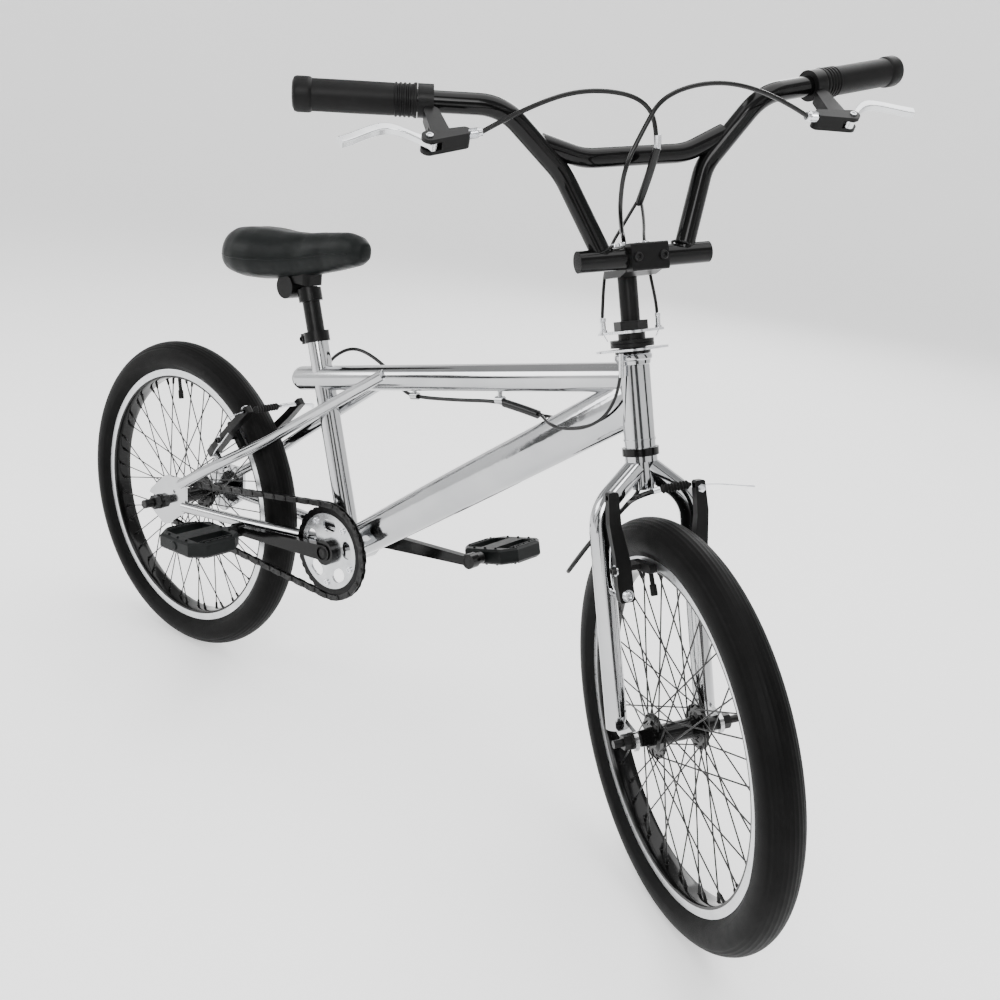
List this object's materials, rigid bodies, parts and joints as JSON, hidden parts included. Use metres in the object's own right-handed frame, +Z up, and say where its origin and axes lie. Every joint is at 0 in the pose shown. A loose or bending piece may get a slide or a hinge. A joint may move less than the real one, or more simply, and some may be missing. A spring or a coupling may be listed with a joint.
{
  "type": "freestyle bicycle",
  "caption": "Small-wheeled freestyle bicycle with a steering front end, a cable detangler, linear-pull rim brakes, a chain drive and platform pedals.",
  "frame": {"origin": "centre of the rear axle, on the bicycle's middle plane", "axes": "+X ahead, +Y to the rider's left, +Z up; the wheels' contact with the ground is at z = -0.254 m"},
  "size_m": [1.4375, 0.6231, 1.0242],
  "materials": {
    "frame_chrome": "mirror",
    "black_metal": "gloss",
    "axle_steel": "black oxide",
    "chain_steel": "dark oiled",
    "plated_steel": "zinc plated",
    "cable_housing": "gloss",
    "tyre_rubber": "matte",
    "rim_metal": "black with machined sides",
    "spoke_steel": "dark plated",
    "hub_metal": "gloss",
    "stem_metal": "black anodised",
    "bar_paint": "gloss",
    "grip_rubber": "matte",
    "lever_alloy": "satin",
    "brake_black": "satin",
    "pad_rubber": "matte",
    "crank_paint": "gloss",
    "chainring_steel": "plated with a black rim",
    "pedal_plastic": "matte",
    "saddle_cover": "smooth synthetic"
  },
  "bodies": {
    "frame": {"head_tube": "frame_chrome", "top_tube": "frame_chrome", "down_tube": "frame_chrome", "seat_tube": "frame_chrome", "bottom_bracket_shell": "frame_chrome", "bottom_bracket_cups": "black_metal", "seat_stays": "frame_chrome", "chain_stays_and_dropouts": "frame_chrome", "headset_cups": "black_metal", "seat_collar": "black_metal", "cable_guides": "frame_chrome", "rear_axle_and_nuts": "axle_steel", "chain": "chain_steel", "gyro_lower_plate": "plated_steel", "rear_brake_cable": "cable_housing"},
    "rear_wheel": {"rear_tyre": "tyre_rubber", "rear_rim": "rim_metal", "rear_spokes": "spoke_steel", "rear_hub": "hub_metal"},
    "freewheel": {"freewheel": "chain_steel"},
    "steering": {"fork_legs": "frame_chrome", "steerer_tube": "frame_chrome", "headset_race_and_locknut": "black_metal", "front_axle_and_nuts": "axle_steel", "stem": "stem_metal", "stem_cap": "stem_metal", "stem_bolts": "plated_steel", "handlebar": "bar_paint", "grips": "grip_rubber", "lever_brackets": "black_metal", "barrel_adjusters": "plated_steel", "gyro_upper_plate": "plated_steel", "rear_brake_upper_cable": "cable_housing", "front_brake_cable": "cable_housing"},
    "front_wheel": {"front_tyre": "tyre_rubber", "front_rim": "rim_metal", "front_spokes": "spoke_steel", "front_hub": "hub_metal"},
    "lever_left": {"brake_lever_left": "lever_alloy"},
    "lever_right": {"brake_lever_right": "lever_alloy"},
    "gyro_lower": {"gyro_lower_ring": "black_metal"},
    "gyro_upper": {"gyro_upper_ring": "black_metal"},
    "front_arm_left": {"front_brake_arm_left": "brake_black", "front_brake_pad_left": "pad_rubber"},
    "front_arm_right": {"front_brake_arm_right": "brake_black", "front_brake_pad_right": "pad_rubber", "front_brake_noodle": "plated_steel"},
    "rear_arm_left": {"rear_brake_arm_left": "brake_black", "rear_brake_pad_left": "pad_rubber", "rear_brake_noodle": "plated_steel"},
    "rear_arm_right": {"rear_brake_arm_right": "brake_black", "rear_brake_pad_right": "pad_rubber"},
    "crank": {"cranks": "crank_paint", "chainring": "chainring_steel", "pedal_axles": "axle_steel"},
    "pedal_left": {"pedal_left": "pedal_plastic"},
    "pedal_right": {"pedal_right": "pedal_plastic"},
    "seat": {"saddle": "saddle_cover", "saddle_clamp": "black_metal", "seat_post": "black_metal"}
  },
  "joints": [
    {"name": "rear_wheel_spin", "type": "hinge", "parent": "frame", "child": "rear_wheel", "pos_m": [0, 0, 0], "axis": [0, 1, 0], "continuous": true},
    {"name": "freewheel_spin", "type": "hinge", "parent": "frame", "child": "freewheel", "pos_m": [0, 0, 0], "axis": [0, 1, 0], "continuous": true},
    {"name": "steering", "type": "hinge", "parent": "frame", "child": "steering", "pos_m": [0.93036, 0, -0.01023], "axis": [-0.2622, 0, 0.965], "continuous": true},
    {"name": "front_wheel_spin", "type": "hinge", "parent": "steering", "child": "front_wheel", "pos_m": [0.96221, -0.02078, -0.00157], "axis": [0.5142, 0.8462, 0.1397], "continuous": true},
    {"name": "lever_left_pull", "type": "hinge", "parent": "steering", "child": "lever_left", "pos_m": [0.95134, 0.15513, 0.6908], "axis": [0.3779, -0.3698, 0.8488], "range_deg": [0, 20], "stiffness_Nm_per_rad": 1.2},
    {"name": "lever_right_pull", "type": "hinge", "parent": "steering", "child": "lever_right", "pos_m": [0.70451, -0.25105, 0.62374], "axis": [-0.3779, 0.3698, -0.8488], "range_deg": [0, 20], "stiffness_Nm_per_rad": 1.2},
    {"name": "gyro_lower_lift", "type": "slide", "parent": "frame", "child": "gyro_lower", "axis": [-0.2622, 0, 0.965], "range_m": [0, 0.006]},
    {"name": "gyro_upper_lift", "type": "slide", "parent": "steering", "child": "gyro_upper", "axis": [-0.2622, 0, 0.965], "range_m": [0, 0.006]},
    {"name": "front_arm_left_close", "type": "hinge", "parent": "steering", "child": "front_arm_left", "pos_m": [0.94236, 0.01846, 0.17023], "axis": [0.8166, -0.5329, 0.2219], "range_deg": [0, 4]},
    {"name": "front_arm_right_close", "type": "hinge", "parent": "steering", "child": "front_arm_right", "pos_m": [0.89402, -0.06109, 0.1571], "axis": [-0.8166, 0.5329, -0.2219], "range_deg": [0, 4]},
    {"name": "rear_arm_right_close", "type": "hinge", "parent": "frame", "child": "rear_arm_right", "pos_m": [0.116, -0.047, 0.121], "axis": [-0.7288, 0, 0.6848], "range_deg": [0, 3.6]},
    {"name": "rear_arm_left_close", "type": "hinge", "parent": "frame", "child": "rear_arm_left", "pos_m": [0.116, 0.047, 0.121], "axis": [0.7288, 0, -0.6848], "range_deg": [0, 3.6]},
    {"name": "crank_turn", "type": "hinge", "parent": "frame", "child": "crank", "pos_m": [0.38338, 0, 0.037], "axis": [0, 1, 0], "continuous": true},
    {"name": "pedal_right_spin", "type": "hinge", "parent": "crank", "child": "pedal_right", "pos_m": [0.2117, -0.139, 0.02017], "axis": [0, 1, 0], "continuous": true},
    {"name": "pedal_left_spin", "type": "hinge", "parent": "crank", "child": "pedal_left", "pos_m": [0.55505, 0.139, 0.05383], "axis": [0, 1, 0], "continuous": true},
    {"name": "seat_height", "type": "slide", "parent": "frame", "child": "seat", "axis": [-0.3256, 0, 0.9455], "range_m": [-0.02, 0.05]}
  ],
  "couplings": [
    {"joint": "freewheel_spin", "follows": "crank_turn", "ratio": 2.125},
    {"joint": "front_arm_left_close", "follows": "lever_left_pull", "ratio": 0.2},
    {"joint": "front_arm_right_close", "follows": "lever_left_pull", "ratio": 0.2},
    {"joint": "rear_arm_right_close", "follows": "lever_right_pull", "ratio": 0.18},
    {"joint": "rear_arm_left_close", "follows": "lever_right_pull", "ratio": 0.18},
    {"joint": "gyro_lower_lift", "follows": "lever_right_pull", "m_per_rad": 0.017188},
    {"joint": "gyro_upper_lift", "follows": "lever_right_pull", "m_per_rad": 0.017188}
  ]
}
